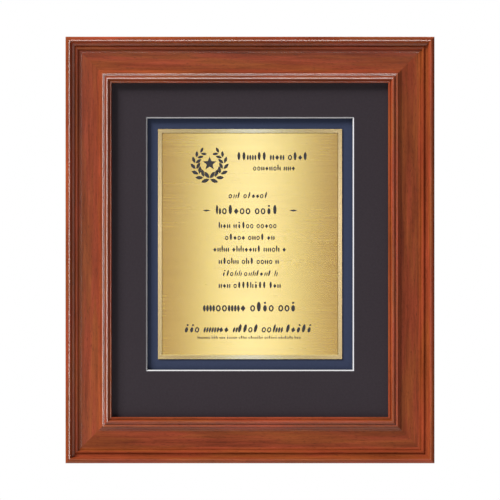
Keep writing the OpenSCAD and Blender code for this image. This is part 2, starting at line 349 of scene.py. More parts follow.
# %% Timber materials
LACQUERED = {"Pale": (0.37, 0.090, 0.022, 1), "Blush": (0.41, 0.072, 0.028, 1),
             "Deep": (0.20, 0.035, 0.010, 1), "Pore": (0.055, 0.010, 0.004, 1), "Pore_Amount": 0.55}
RAW = {"Pale": (0.56, 0.37, 0.21, 1), "Blush": (0.54, 0.33, 0.19, 1),
       "Deep": (0.36, 0.20, 0.10, 1), "Pore": (0.16, 0.08, 0.04, 1), "Pore_Amount": 0.6}
# Gloss at shares of the rail's width, from the outer edge: rim, channel, face and beads, lip
RIM_GLOSS, LIP_GLOSS = 0.5, 0.2
GLOSS = ((0.125, RIM_GLOSS), (0.14, 0.0), (0.335, 0.0), (0.35, 1.0), (0.93, 1.0), (0.945, LIP_GLOSS))


def rubbed_gloss(place, upright):
    """How much the lacquer shines, by how far in from the rail's outer edge it is."""
    across = node("SeparateXYZ", {0: place})["X" if upright else "Z"]
    half = (frame_w if upright else frame_h) / 2
    inwards = calculate("SUBTRACT", half, calculate("ABSOLUTE", across)) / rail_w
    ramp = node("ValToRGB", {0: inwards})
    stops = ramp.socket.node.color_ramp.elements
    for spot, amount in GLOSS:
        stops.new(spot).color = (amount, amount, amount, 1)
    stops[0].color = (RIM_GLOSS, RIM_GLOSS, RIM_GLOSS, 1)
    stops[-1].color = (LIP_GLOSS, LIP_GLOSS, LIP_GLOSS, 1)
    return ramp


def timber_material(name, upright, shift, lacquered):
    """Stained and lacquered moulding, or the raw back of it, with fibres along the rail."""
    material, shader, place = new_material(name)
    turn = (0, math.radians(90), 0) if upright else (0, 0, 0)
    in_plank = node("Mapping", {"Vector": place, "Rotation": turn, "Location": shift})
    figure = use_group(timber_figure, in_plank, **(LACQUERED if lacquered else RAW))
    relief = 0.00012 if lacquered else 0.0003
    fill(shader, {"Base Color": figure["Color"], "Roughness": 0.8, "Normal": bump(figure["Height"], relief)})
    if lacquered:
        worn = use_group(handling, place, Scratches=0.25)
        rough = spread(figure["Dullness"], 0, 1, 0.34, 0.46) + worn["Smear"] * 0.10
        fill(shader, {"Roughness": rough, "Specular IOR Level": 0.05, "Coat Roughness": 0.10, "Coat IOR": 1.5,
                      "Coat Weight": rubbed_gloss(place, upright)})
    return material


print("lacquer and raw timber are one function")

# %% [markdown]
# ## The moulding
# A frame moulding is milled from one length of timber, so its shape is an outline carried along
# a line. The outline is drawn here from the outer edge inwards: a round rim, a drop to a ledge, a
# small bead, a broad hollow face, a crest bead, a fuller bead, and a lip bead over the rabbet
# that holds the boards. Sharp corners are eased a little, as sanding and lacquer ease them.

# %% Outline of the moulding
def arc(x, y, radius, start, end, steps=16):
    """Points on an arc, from one angle to another, in degrees."""
    turns = [math.radians(start + (end - start) * i / steps) for i in range(steps + 1)]
    return [(x + radius * math.cos(t), y + radius * math.sin(t)) for t in turns]


def hollow(a, b, depth, steps=16):
    """Points of a shallow hollow between two points, without its ends."""
    shares = [i / steps for i in range(1, steps)]
    return [(a[0] + (b[0] - a[0]) * t, a[1] + (b[1] - a[1]) * t - 4 * depth * t * (1 - t)) for t in shares]


def eased(points, radius, sharpest=22):
    """Round every corner that turns by more than `sharpest` degrees."""
    out = []
    for i, here in enumerate(points):
        before, here, after = Vector(points[i - 1]), Vector(here), Vector(points[(i + 1) % len(points)])
        if (here - before).angle(after - here) < math.radians(sharpest):
            out.append(here)
            continue
        a = here + (before - here).normalized() * min(radius, (before - here).length * 0.4)
        b = here + (after - here).normalized() * min(radius, (after - here).length * 0.4)
        out += [a, (a + 2 * here + b) / 4, b]
    return out


rim_r, outer_bead_r, crest_bead_r, inner_bead_r, lip_bead_r = (r * mm for r in (3.2, 1.9, 1.6, 2.3, 1.5))
groove = 0.5 * mm
rim_rise = 8.4 * mm
scoop = 0.3 * mm
ledge_drop, fillet_drop, face_drop = 5.6 * mm, 7.4 * mm, 8.2 * mm
rabbet_w = 6.35 * mm
lip_top = rail_t - rim_rise
lip_u = rail_w - lip_bead_r
inner_u = lip_u - lip_bead_r - groove - inner_bead_r
crest_u = inner_u - inner_bead_r - groove - crest_bead_r
neck_u = crest_u - crest_bead_r - 1.6 * mm
ledge_u = 2 * rim_r + 1 * mm
bead_u = ledge_u + 2.2 * mm + groove + outer_bead_r
fillet_u = bead_u + outer_bead_r + 2 * groove
face_a = (fillet_u + 2.2 * mm, rail_t - face_drop)
face_b = (neck_u - 0.6 * mm, lip_top + 1.3 * mm)
outline = (
    [(0, 0)] + arc(rim_r, rail_t - rim_r, rim_r, 180, 15, 22)
    + [(ledge_u, rail_t - ledge_drop), (ledge_u + 2.2 * mm, rail_t - ledge_drop - 0.2 * mm)]
    + arc(bead_u, rail_t - fillet_drop + 0.5 * mm, outer_bead_r, 165, 15)
    + [(fillet_u - groove, rail_t - fillet_drop - 0.2 * mm), (fillet_u, rail_t - fillet_drop)]
    + [(fillet_u + 1.6 * mm, rail_t - fillet_drop - 0.1 * mm), face_a]
    + hollow(face_a, face_b, scoop) + [face_b]
    + [(neck_u, lip_top + 2.2 * mm)] + arc(crest_u, lip_top + 2.2 * mm, crest_bead_r, 165, 10)
    + arc(inner_u, lip_top + 1.6 * mm, inner_bead_r, 160, 20) + arc(lip_u, lip_top, lip_bead_r, 140, 0)
    + [(rail_w, rabbet_d), (rail_w - rabbet_w, rabbet_d), (rail_w - rabbet_w, 0)]
)
outline = eased(outline, 0.18 * mm)
print("the moulding's outline has", len(outline), "points")

# %% [markdown]
# Geometry Nodes carry the outline along a line, with Curve to Mesh, and then slide the points
# along it to cut the mitres: the further a point is from the outer edge, the nearer it comes to
# the middle. That is why one tree makes all four rails, and the mitres always meet. A second
# material goes on the faces behind the lacquer, by their place.

# %% Geometry tree helpers
GEOMETRY = ("Geometry", "Geometry")


def geometry_tree(name, inputs):
    """Start a geometry tree with these inputs beside its geometry."""
    return start_tree(name, "GeometryNodeTree", [GEOMETRY] + inputs, [GEOMETRY])


def geo(kind, inputs=None, **settings):
    """Add a geometry node."""
    return node("GeometryNode" + kind, inputs, **settings)


def join(*parts):
    """Join geometry, in the order given."""
    joined = geo("JoinGeometry")
    for part in parts:
        fill(joined.socket.node.inputs, {0: part})
    return joined


def combined(**axes):
    """Vector from its axes, X, Y or Z."""
    return node("CombineXYZ", axes)


def turned_by(axis):
    """Rotation about one axis by the points' attribute `turn`."""
    angle = geo("InputNamedAttribute", {"Name": "turn"}, data_type="FLOAT")
    return node("FunctionNodeEulerToRotation", {0: combined(**{axis: angle})})


def finished(shape, material):
    """Make real geometry of a shape and give it a material."""
    return geo("SetMaterial", {"Geometry": geo("RealizeInstances", {0: shape}), "Material": material})


def rotation(degrees, axis):
    """Matrix of a turn about an axis."""
    return Matrix.Rotation(math.radians(degrees), 4, axis)


def add_object(name, data):
    """Put data into the scene as an object at the origin."""
    made = bpy.data.objects.new(name, data)
    bpy.context.scene.collection.objects.link(made)
    return made


def plain_mesh(source, name):
    """What an object looks like with its modifiers, as a plain mesh object; the source goes."""
    graph = bpy.context.evaluated_depsgraph_get()
    mesh = bpy.data.meshes.new_from_object(source.evaluated_get(graph), depsgraph=graph)
    mesh.name = name
    while source.modifiers:
        source.modifiers.remove(source.modifiers[0])
    bpy.data.objects.remove(source)
    return add_object(name, mesh)


def grow(name, data, tree, values):
    """Run a geometry tree on some data and keep the result as a plain mesh."""
    source = add_object(name + "_source", data)
    modifier = source.modifiers.new("tree", "NODES")
    modifier.node_group = tree
    for item in tree.interface.items_tree:
        if item.in_out == "INPUT" and item.name in values:
            modifier[item.identifier] = values[item.name]
    return plain_mesh(source, name)


def polyline(name, points, closed=True):
    """Mesh of edges only, through points in the XY plane or in space."""
    mesh = bpy.data.meshes.new(name)
    corners = [tuple(p) + (0,) * (3 - len(p)) for p in points]
    edges = [(i, i + 1) for i in range(len(corners) - 1)] + ([(len(corners) - 1, 0)] if closed else [])
    mesh.from_pydata(corners, edges, [])
    return mesh


def marked_points(name, places, attributes):
    """Mesh of loose points that carry (kind, values) attributes by name."""
    mesh = bpy.data.meshes.new(name)
    mesh.from_pydata(places, [], [])
    for label, (kind, values) in attributes.items():
        field = "vector" if kind == "FLOAT_VECTOR" else "value"
        mesh.attributes.new(label, kind, "POINT").data.foreach_set(field, values)
    return mesh


def tidy_mesh(piece, crease=28):
    """Join doubled points, point the faces outwards, and shade smooth up to the crease angle."""
    work = bmesh.new()
    work.from_mesh(piece.data)
    bmesh.ops.remove_doubles(work, verts=work.verts, dist=1e-6)
    bmesh.ops.recalc_face_normals(work, faces=work.faces)
    work.to_mesh(piece.data)
    work.free()
    piece.data.shade_smooth()
    piece.data.set_sharp_from_angle(angle=math.radians(crease))
    return piece


def count(piece):
    """Print a piece's size and number of faces."""
    places = [v.co for v in piece.data.vertices]
    spans = [(max(p[i] for p in places) - min(p[i] for p in places)) / mm for i in range(3)]
    print("%s: %d faces, %.1f x %.1f x %.1f mm" % ((piece.name, len(piece.data.polygons)) + tuple(spans)))


def hand_over(piece, body, slot, *nodes):
    """Give a piece to a body, in the place of these nodes. The material slot is not used."""
    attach(piece, body)
    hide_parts(*nodes)
    count(piece)

# %% [markdown]
# The moulding tree has one input for each thing that differs from rail to rail. The faces
# behind the lacquer, at the back and in the rabbet, are found by their place and get raw wood.

# %% Tree that carries the moulding and cuts its mitres
def build_moulding_tree():
    """Outline (x from the outer edge, y above the back) carried along Z, with mitred ends."""
    tree, given, out = geometry_tree("moulding", [
        ("Half Length", "Float", 0.2), ("Rabbet Depth", "Float", 0.014), ("Stations", "Int", 24),
        ("Lacquered", "Material"), ("Raw", "Material"),
    ])
    shape = geo("MeshToCurve", {"Mesh": given["Geometry"]})
    line = geo("CurvePrimitiveLine", {"Start": combined(Z=given["Half Length"] * -1.0),
                                      "End": combined(Z=given["Half Length"])})
    path = geo("ResampleCurve", {"Curve": line, "Count": given["Stations"]})
    level = geo("SetCurveNormal", {"Curve": path}, mode="FREE")
    fill(level.socket.node.inputs, {"Normal": (1, 0, 0)})
    rail = geo("CurveToMesh", {"Curve": level, "Profile Curve": shape, "Fill Caps": True})
    place = node("SeparateXYZ", {0: geo("InputPosition")})
    slide = place["Z"] * (place["X"] / given["Half Length"]) * -1.0
    mitred = geo("SetPosition", {"Geometry": rail, "Offset": combined(Z=slide)})
    coat = geo("SetMaterial", {"Geometry": mitred, "Material": given["Lacquered"]})
    low = calculate("LESS_THAN", place["Y"], given["Rabbet Depth"] + 0.0001)
    inside = calculate("GREATER_THAN", place["X"], 0.0005)
    back = geo("SetMaterial", {"Geometry": geo("RealizeInstances", {0: coat}), "Selection": low * inside,
                               "Material": given["Raw"]})
    fill(out, {0: back})
    return tree


moulding_tree = build_moulding_tree()
print("moulding tree has", len(moulding_tree.nodes), "nodes")

# %% [markdown]
# Each rail is grown lying along Z and then set in place by one matrix: its outer edge goes to
# the outside of the frame, its back to the frame's back. The matrix is baked into the mesh, so
# the object itself stays at the origin.

# %% Rails
RAILS = {
    "top": (Vector((0, 0, 1)), frame_w, frame_h), "bottom": (Vector((0, 0, -1)), frame_w, frame_h),
    "left": (Vector((-1, 0, 0)), frame_h, frame_w), "right": (Vector((1, 0, 0)), frame_h, frame_w),
}
into_wall = Vector((0, 1, 0))
for number, (side, (outwards, length, span)) in enumerate(RAILS.items()):
    upright = side in ("left", "right")
    shift = (0.37 * number, 0.23 * number, 0.61 * number)
    rail = grow("rail_" + side + "_moulding", polyline("outline_" + side, outline), moulding_tree, {
        "Half Length": length / 2, "Rabbet Depth": rabbet_d,
        "Lacquered": timber_material("lacquered_" + side, upright, shift, True),
        "Raw": timber_material("raw_" + side, upright, shift, False)})
    columns = Matrix((-outwards, -into_wall, outwards.cross(into_wall))).transposed().to_4x4()
    rail.data.transform(Matrix.Translation(outwards * span / 2 + into_wall * back_y) @ columns)
    tidy_mesh(rail)
    hand_over(rail, "frame", "frame_wood", "rail_" + side)
    let_see(rail, side)

# %% [markdown]
# ## The mats
# Mat board is a white core between two sheets of paper. The window is cut with the blade
# leaning at 45 degrees, so the core shows as a thin white line all round it. Modelling the three
# layers as three pieces gives that line for free.

# %% Paper group and materials
def build_paper_grain():
    """Fine fibres and flecks of matt paper: a tone near 1, and a height."""
    group, given, out = shader_group("paper_grain", [("Contrast", "Float", 0.1)],
                                     [("Tone", "Color"), ("Height", "Float")])
    tooth = noise(given["Vector"], 1500, 3, 0.65)
    mixed = tooth * 0.6 + noise(given["Vector"], 420, 2) * 0.3 + noise(given["Vector"], 12) * 0.1
    fill(out, {"Tone": tone_near_one(mixed, given["Contrast"]), "Height": tooth})
    return group


paper_grain = build_paper_grain()


def paper_material(name, color, contrast, depth):
    """Matt paper, board or foam: one colour broken up by its fibres."""
    material, shader, place = new_material(name)
    grain = use_group(paper_grain, place, Contrast=contrast)
    fill(shader, {"Base Color": tinted(color, grain["Tone"]), "Roughness": 0.92, "Specular IOR Level": 0.25,
                  "Normal": bump(grain["Height"], depth, 0.6)})
    return material


black_paper = paper_material("black_mat_paper", (0.046, 0.037, 0.045, 1), 0.9, 0.00006)
blue_paper = paper_material("blue_mat_paper", (0.047, 0.061, 0.116, 1), 0.8, 0.00006)
white_core = paper_material("white_core", (0.68, 0.68, 0.72, 1), 0.12, 0.00008)
backing_paper = paper_material("backing_paper", (0.80, 0.79, 0.75, 1), 0.15, 0.00006)
print("papers share one grain group of", len(paper_grain.nodes), "nodes")

# %% [markdown]
# A board is skinned from upright rectangles taken in order: front, back, and the two edges of
# the window where it has one. The slope of the window is one rule for all three layers, so the
# bevel runs straight through them.

# %% Boards, with or without a window
def rectangle(half_w, half_h, y, middle):
    """Four corners of an upright rectangle, round its middle."""
    signs = ((-1, -1), (1, -1), (1, 1), (-1, 1))
    return [(middle.x + half_w * a, y, middle.z + half_h * b) for a, b in signs]


def skin(name, rings, ends, material):
    """Skin rings of corners in order; `ends` closes it: capped at both, or joined in a loop."""
    corners = [c for ring in rings for c in ring]
    size = len(rings[0])
    last = len(rings) - (0 if ends == "loop" else 1)
    faces = [(size * a + i, size * a + (i + 1) % size, size * (a + 1) % len(corners) + (i + 1) % size,
              size * (a + 1) % len(corners) + i) for a in range(last) for i in range(size)]
    if ends in ("caps", "back cap"):
        faces.append(tuple(range(size)))
    if ends == "caps":
        faces.append(tuple(range(len(corners) - size, len(corners))))
    mesh = bpy.data.meshes.new(name)
    mesh.from_pydata(corners, [], faces)
    mesh.materials.append(material)
    return add_object(name, mesh)


def layer(name, front, back, outer, window, material):
    """One layer of board, with a bevelled window when `window` gives half sizes front and back."""
    middle = Vector((0, 0, 0))
    rings = [rectangle(outer[0], outer[1], front, middle), rectangle(outer[0], outer[1], back, middle)]
    if window is None:
        return tidy_mesh(skin(name, rings, "caps", material), 10)
    (wide, high), slope = window
    low = Vector((0, 0, plate_mid.z))
    rings += [rectangle(wide - slope(back), high - slope(back), back, low),
              rectangle(wide - slope(front), high - slope(front), front, low)]
    return tidy_mesh(skin(name, rings, "loop", material), 10)


paper_t = 0.2 * mm
mat_front, mat_back = box["window_mat"][0].y, box["window_mat"][1].y
board = (box["window_mat"][1].x, box["window_mat"][1].z)
reveal = 13.2 * mm
window = ((box["plate"][1].x + reveal, box["plate"][1].z - plate_mid.z + reveal), lambda y: y - mat_front)
levels = [mat_front, mat_front + paper_t, mat_back - paper_t, mat_back]
LAYERS = [("window_mat_face", black_paper), ("window_mat_core", white_core),
          ("window_mat_backing", backing_paper)]
for (name, material), front, back in zip(LAYERS, levels, levels[1:]):
    hand_over(layer(name, front, back, board, window, material), "frame", "mat_black", "window_mat")

blue_front, blue_back = box["backing_mat"][0].y, box["backing_mat"][1].y
blue_levels = [blue_front, blue_front + paper_t, blue_back]
BLUE_LAYERS = [("backing_mat_face", blue_paper), ("backing_mat_core", white_core)]
for (name, material), front, back in zip(BLUE_LAYERS, blue_levels, blue_levels[1:]):
    hand_over(layer(name, front, back, board, None, material), "frame", "mat_blue", "backing_mat")

# %% [markdown]
# ## The plate
# The plate is brushed from side to side under a clear lacquer, so light is thrown up and down
# but hardly sideways, and a lamp becomes an upright band. The shader does that with anisotropy
# along an upright tangent, the model's own Z. The bevelled border is polished.

# %% Brushed metal group and the plate's materials
def build_brushing():
    """Fine streaks along X of the vector: a tone near 1, a height, and a dullness."""
    group, given, out = shader_group("brushing", [("Contrast", "Float", 0.2)],
                                     [("Tone", "Color"), ("Height", "Float"), ("Dullness", "Float")])
    long_streaks = noise(given["Vector"], (7, 900, 900), 3, 0.6)
    both = long_streaks * 0.6 + noise(given["Vector"], (28, 2600, 2600), 2, 0.6) * 0.4
    fill(out, {"Tone": tone_near_one(both, given["Contrast"]), "Height": both,
               "Dullness": spread(long_streaks, 0.35, 0.65)})
    return group


brushing = build_brushing()


def gold_material(name, color, roughness, anisotropy, contrast):
    """Gold-coloured metal, brushed along X, so with anisotropy its sheen stands upright."""
    material, shader, place = new_material(name)
    streaks = use_group(brushing, place, Contrast=contrast)
    worn = use_group(handling, place, Scratches=0.3)
    dull = spread(streaks["Dullness"], 0, 1, roughness - 0.02, roughness + 0.02) + worn["Smear"] * 0.015
    fill(shader, {"Base Color": tinted(color, streaks["Tone"]), "Roughness": dull, "Metallic": 1.0,
                  "Anisotropic": anisotropy, "Coat Weight": 1.0, "Coat Roughness": 0.17, "Coat IOR": 1.7,
                  "Normal": bump(streaks["Height"], 0.00002, 0.12)})
    if anisotropy:
        fill(shader, {"Tangent": node("VectorTransform", {0: (0, 0, 1)}, vector_type="VECTOR",
                                      convert_from="OBJECT", convert_to="WORLD")})
    return material


brushed_gold = gold_material("brushed_gold", (0.98, 0.590, 0.060, 1), 0.25, 0.97, 0.30)
polished_gold = gold_material("polished_gold", (0.85, 0.64, 0.17, 1), 0.24, 0.0, 0.10)
enamel, shader, place = new_material("engraving_enamel")
grain = use_group(paper_grain, place, Contrast=0.5)
fill(shader, {"Base Color": tinted((0.042, 0.038, 0.022, 1), grain["Tone"]), "Roughness": 0.42})
print("brushing group has", len(brushing.nodes), "nodes")

# %% [markdown]
# ## The engraving
# The real plate carries a name and a dedication. This one carries none: a laurel wreath round a
# star stands where the large figures would be, and rows of engraved ornament, made of slender
# leaves, lozenges and dots, stand for the lines of the dedication, with the same lengths and
# weights. Each mark is one point with a kind, a size and a turn, and the layout is worked out
# here, in millimetres from the middle of the plate.

# %% Layout of the ornament
LEAF, LOZENGE, DOT, STAR, RING = range(5)
marks = []


def mark(kind, x, y, wide, high, turn=0.0):
    """Note one engraved mark, in millimetres from the plate's middle, turned in degrees."""
    marks.append((kind, x * mm, y * mm, wide * mm, high * mm, math.radians(turn)))


def ornament_row(middle, up, half, tall, weight, lean, chance):
    """A row of small ornaments in groups, as long and as heavy as a line of engraving."""
    pitch = tall * 0.62
    foot = up - tall / 2
    x, left_in_group = middle - half + pitch / 2, chance.randint(3, 8)
    while x <= middle + half - pitch / 2 + 1e-6:
        pick = chance.random()
        low = tall * 0.66
        if pick < 0.34:
            for side in (-0.25, 0.25):
                high = tall if side < 0 and chance.random() < 0.4 else low
                spot = x + side * pitch + lean * 0.01 * high
                mark(DOT, spot, foot + high / 2, weight * pitch * 0.32, high, -lean)
        elif pick < 0.58:
            mark(RING, x, foot + low / 2, pitch * 0.82, low, -lean)
        elif pick < 0.74:
            mark(LOZENGE, x, foot + low / 2, pitch * 0.80, low, -lean)
        elif pick < 0.88:
            mark(DOT, x, foot + tall / 2, weight * pitch * 0.48, tall, -lean)
        else:
            mark(DOT, x, foot + low / 2, weight * pitch * 0.46, low, -lean)
            mark(DOT, x + lean * 0.01 * tall, foot + tall * 0.88, pitch * 0.36, pitch * 0.36)
        left_in_group -= 1
        x += pitch
        if left_in_group == 0:
            x += pitch * 0.55
            left_in_group = chance.randint(3, 8)


def laurel(middle, up, radius, leaves, leaf_long):
    """Two branches of leaf pairs that rise from the foot of a circle, round a star."""
    for side in (-1, 1):
        for i in range(leaves):
            around = math.radians(-90 + side * (15 + 136 * i / (leaves - 1)))
            along = math.degrees(around) + side * 90
            grown = leaf_long * (1.0 - 0.28 * i / (leaves - 1))
            for out, lean in ((1, 36), (-1, -36)):
                reach = radius + out * grown * 0.36
                mark(LEAF, middle + reach * math.cos(around), up + reach * math.sin(around),
                     grown * 0.46, grown, along - 90 - side * lean)
    mark(STAR, middle, up + radius * 0.05, radius * 1.0, radius * 1.0, 18)


chance = random.Random(25)
laurel(-44.5, 88, 15.5, 7, 9.2)
# Each row: middle across, height above the plate's middle, half length, height of the marks, weight, lean
ROWS = [
    (27, 97, 42, 9.0, 1.2, 0), (27, 84.5, 24, 7.2, 1.1, 0), (0, 54, 24, 7.4, 0.8, 14),
    (0, 38, 38, 10.5, 1.2, 0), (0, 21, 35, 7.4, 1.1, 0), (0, 8, 28, 7.4, 1.1, 0),
    (0, -5, 41, 7.4, 1.1, 0), (0, -18.5, 35, 7.4, 1.1, 0), (0, -32, 31, 7.0, 0.9, 14),
    (0, -45, 35, 7.4, 1.1, 0), (0, -69, 52, 11.0, 1.35, 0), (0, -93, 73, 9.4, 1.25, 14),
    (0, -102.8, 58, 3.8, 1.1, 0),
]
for row in ROWS:
    ornament_row(*row, chance)
for side in (-1, 1):
    mark(LEAF, side * 48, 37, 1.9, 8, 90)
print("the engraving has", len(marks), "marks")

# %% [markdown]
# Geometry Nodes turn the points into outlines, fill the plate's face round them, and sink walls
# and floors, so every mark is a real groove with dark enamel at its foot. Filling curves leaves
# true holes, where cutting hundreds of solids out of the plate would be slow and fragile.

# %% Tree that engraves a face
def unit_outlines(steps):
    """Outlines of size 1 for each kind of mark."""
    circle = geo("CurvePrimitiveCircle", {"Resolution": steps, "Radius": 0.5})
    place = node("SeparateXYZ", {0: geo("InputPosition")})
    narrow = place["X"] * (calculate("ABSOLUTE", place["X"]) * 2.0)
    leaf = geo("SetPosition", {"Geometry": circle, "Position": combined(X=narrow, Y=place["Y"])})
    lozenge = geo("CurvePrimitiveCircle", {"Resolution": 4, "Radius": 0.5})
    star = geo("CurveStar", {"Points": 5, "Inner Radius": 0.22, "Outer Radius": 0.5})
    hole = geo("Transform", {0: circle, "Scale": (0.42, 0.56, 1)})
    return {LEAF: leaf, LOZENGE: lozenge, DOT: circle, STAR: star, RING: join(hole, circle)}


def build_engraving_tree():
    """Fills a flat face with holes at the marks and gives each a sunk floor."""
    tree, given, out = geometry_tree("engraving", [
        ("Face Width", "Float", 0.19), ("Face Height", "Float", 0.24), ("Depth", "Float", 0.0003),
        ("Steps", "Int", 12), ("Metal", "Material"), ("Enamel", "Material"),
    ])
    kind = geo("InputNamedAttribute", {"Name": "kind"}, data_type="INT")
    size = geo("InputNamedAttribute", {"Name": "size"}, data_type="FLOAT_VECTOR")
    turned = turned_by("Z")
    placed = []
    for number, shape in unit_outlines(given["Steps"]).items():
        chosen = node("FunctionNodeCompare", {2: kind, 3: number}, data_type="INT", operation="EQUAL")
        placed.append(geo("InstanceOnPoints", {"Points": given["Geometry"], "Selection": chosen,
                                               "Instance": shape, "Rotation": turned, "Scale": size}))
    outlines = geo("RealizeInstances", {0: join(*placed)})
    border = geo("CurvePrimitiveQuadrilateral", {
        "Width": given["Face Width"], "Height": given["Face Height"]})
    filled = geo("FillCurve", {0: join(outlines, border)})
    face = geo("SetMaterial", {"Geometry": filled, "Material": given["Metal"]})
    down = combined(Z=given["Depth"] * -1.0)
    edges = geo("CurveToMesh", {"Curve": outlines})
    walls = geo("ExtrudeMesh", {"Mesh": edges, "Offset": down, "Offset Scale": 1.0}, mode="EDGES")
    floors = geo("Transform", {0: geo("FillCurve", {0: outlines}), "Translation": down})
    sunk = geo("SetMaterial", {"Geometry": join(walls, floors), "Material": given["Enamel"]})
    merged = geo("MergeByDistance", {"Geometry": join(face, sunk), "Distance": 2e-6})
    fill(out, {0: geo("RealizeInstances", {0: merged})})
    return tree


engraving_tree = build_engraving_tree()
print("engraving tree has", len(engraving_tree.nodes), "nodes")

# %% [markdown]
# The plate's body is a stack of rectangles: back, upright edge, a gentle polished bevel, and a
# steep step up to the face, which draws a fine bright line along the top and a dark one below.
# The engraved face closes the stack, and both are merged into one closed mesh.

# %% Plate
plate_back, plate_front = box["plate"][1].y, box["plate"][0].y
plate_half = (box["plate"][1].x, box["plate"][1].z - plate_mid.z)
STEPS = [(0, 0.0), (0, 0.32), (0.12, 0.44), (4.35, 0.92), (4.5, 0.99), (4.9, 1.14), (5.0, 1.2)]
body_rings = [rectangle(plate_half[0] - inset * mm, plate_half[1] - inset * mm, plate_back - rise * mm,
                        Vector((0, 0, plate_mid.z))) for inset, rise in STEPS]
plate_body = skin("plate_body", body_rings, "back cap", polished_gold)
points = marked_points("marks", [(m[1], m[2], 0) for m in marks], {
    "kind": ("INT", [m[0] for m in marks]), "turn": ("FLOAT", [m[5] for m in marks]),
    "size": ("FLOAT_VECTOR", [part for m in marks for part in (m[3], m[4], 1.0)])})
face_inset = STEPS[-1][0] * mm
engraved = 0.3 * mm
face = grow("plate_face", points, engraving_tree, {
    "Face Width": 2 * (plate_half[0] - face_inset), "Face Height": 2 * (plate_half[1] - face_inset),
    "Depth": engraved, "Metal": brushed_gold, "Enamel": enamel})
face.data.transform(Matrix.Translation((0, plate_front, plate_mid.z)) @ rotation(90, "X"))


def merge_into(name, parts):
    """Join several objects into one mesh that keeps each part's materials."""
    work = bmesh.new()
    materials = []
    for part in parts:
        used = list(part.data.materials)
        start = len(work.faces)
        work.from_mesh(part.data)
        work.faces.ensure_lookup_table()
        for f in work.faces[start:]:
            f.material_index = len(materials) + min(f.material_index, len(used) - 1)
        materials += used
    mesh = bpy.data.meshes.new(name)
    work.to_mesh(mesh)
    work.free()
    for material in materials:
        mesh.materials.append(material)
    for part in parts:
        bpy.data.objects.remove(part)
    return add_object(name, mesh)


plate = tidy_mesh(merge_into("engraved_plate", [plate_body, face]), 15)
hand_over(plate, "frame", "plate_gold", "plate")
let_see(plate, "plate")

# %% [markdown]
# ## Boards behind the plate
# The foam strips, the tape and the filler board are plain cut boards, so the fixed model's own
# shapes are right and only get a finish. The back panel is seen from behind: it is rebuilt with
# eased edges, and finished as hardboard, whose face is a felt of short brown fibres.

# %% Inner boards keep their shape and get a finish
foam = paper_material("closed_cell_foam", (0.82, 0.81, 0.78, 1), 0.22, 0.00025)
filler_paper = paper_material("filler_board_paper", (0.78, 0.77, 0.73, 1), 0.16, 0.00008)
INNER = {"plate_tape": foam, "filler_board": filler_paper}
INNER.update({"spacer_" + side: foam for side in RAILS})
for name, material in INNER.items():
    kept = frame["nodes"][name]
    for slot in kept.material_slots:
        slot.material = material
    print(name, "keeps its shape, with", material.name)

# %% [markdown]
# The fittings are stamped, turned or folded, so three more tools cover them: a prism from flat
# outlines, a lathe, and one Boolean step.

# %% Prism and lathe helpers
def prism(name, loops, thickness, eased_by=0.0):
    """Solid from z = 0 to `thickness` on closed outlines; outlines inside others are holes."""
    work = bmesh.new()
    edges = []
    for loop in loops:
        corners = [work.verts.new((x, y, 0)) for x, y in loop]
        edges += [work.edges.new((a, b)) for a, b in zip(corners, corners[1:] + corners[:1])]
    bmesh.ops.triangle_fill(work, use_beauty=True, use_dissolve=False, edges=edges)
    base = bmesh.ops.extrude_face_region(work, geom=work.faces[:], use_keep_orig=True)
    moved = [v for v in base["geom"] if isinstance(v, bmesh.types.BMVert)]
    bmesh.ops.translate(work, verts=moved, vec=(0, 0, thickness))
    bmesh.ops.recalc_face_normals(work, faces=work.faces)
    if eased_by:
        sharp = [e for e in work.edges if len(e.link_faces) == 2 and e.calc_face_angle() > math.radians(40)]
        bmesh.ops.bevel(work, geom=sharp, offset=eased_by, segments=2, affect="EDGES", clamp_overlap=True)
    mesh = bpy.data.meshes.new(name)
    work.to_mesh(mesh)
    work.free()
    return add_object(name, mesh)


def lathe(name, profile, steps=36):
    """Solid turned round Z from (radius, height) points; it starts and ends on the axis."""
    rings = [[(r * math.cos(2 * math.pi * i / steps), r * math.sin(2 * math.pi * i / steps), z)
              for i in range(steps)] for r, z in profile[1:-1]]
    made = skin(name, rings, "open", None)
    work = bmesh.new()
    work.from_mesh(made.data)
    half = abs(profile[0][1] - profile[-1][1]) / 2
    for height in (profile[0][1], profile[-1][1]):
        rim = [e for e in work.edges if e.is_boundary and abs(e.verts[0].co.z - height) < half]
        work.verts.ensure_lookup_table()
        pole = work.verts.new((0, 0, height))
        for e in rim:
            work.faces.new((e.verts[0], e.verts[1], pole))
    bmesh.ops.recalc_face_normals(work, faces=work.faces)
    work.to_mesh(made.data)
    work.free()
    return made


def combine(piece, tool, operation):
    """Cut, join or overlap a piece with a tool, and remove the tool."""
    step = piece.modifiers.new("combine", "BOOLEAN")
    step.object = tool
    step.operation = operation
    step.solver = "EXACT"
    made = plain_mesh(piece, piece.name)
    bpy.data.objects.remove(tool)
    return made

# %% [markdown]
# The back panel is a closed sheet with eased edges, skinned like the boards. Its felt of short
# fibres and its specks are a group of their own, with the scuffs of handling on top.

# %% Back panel
def build_hardboard_felt():
    """Short tangled fibres and darker specks of hardboard: a mix of 0 to 1, and a height."""
    group, given, out = shader_group("hardboard_felt", [], [("Mix", "Float"), ("Height", "Float")])
    felt = noise(given["Vector"], 700, 4, 0.7, 1.5)
    cloud = noise(given["Vector"], 25, 3, 0.6)
    speck = spread(noise(given["Vector"], 1300, 1), 0.62, 0.7)
    fill(out, {"Mix": spread(felt * 0.7 + cloud * 0.5 - speck * 0.35, 0.35, 0.85), "Height": felt})
    return group


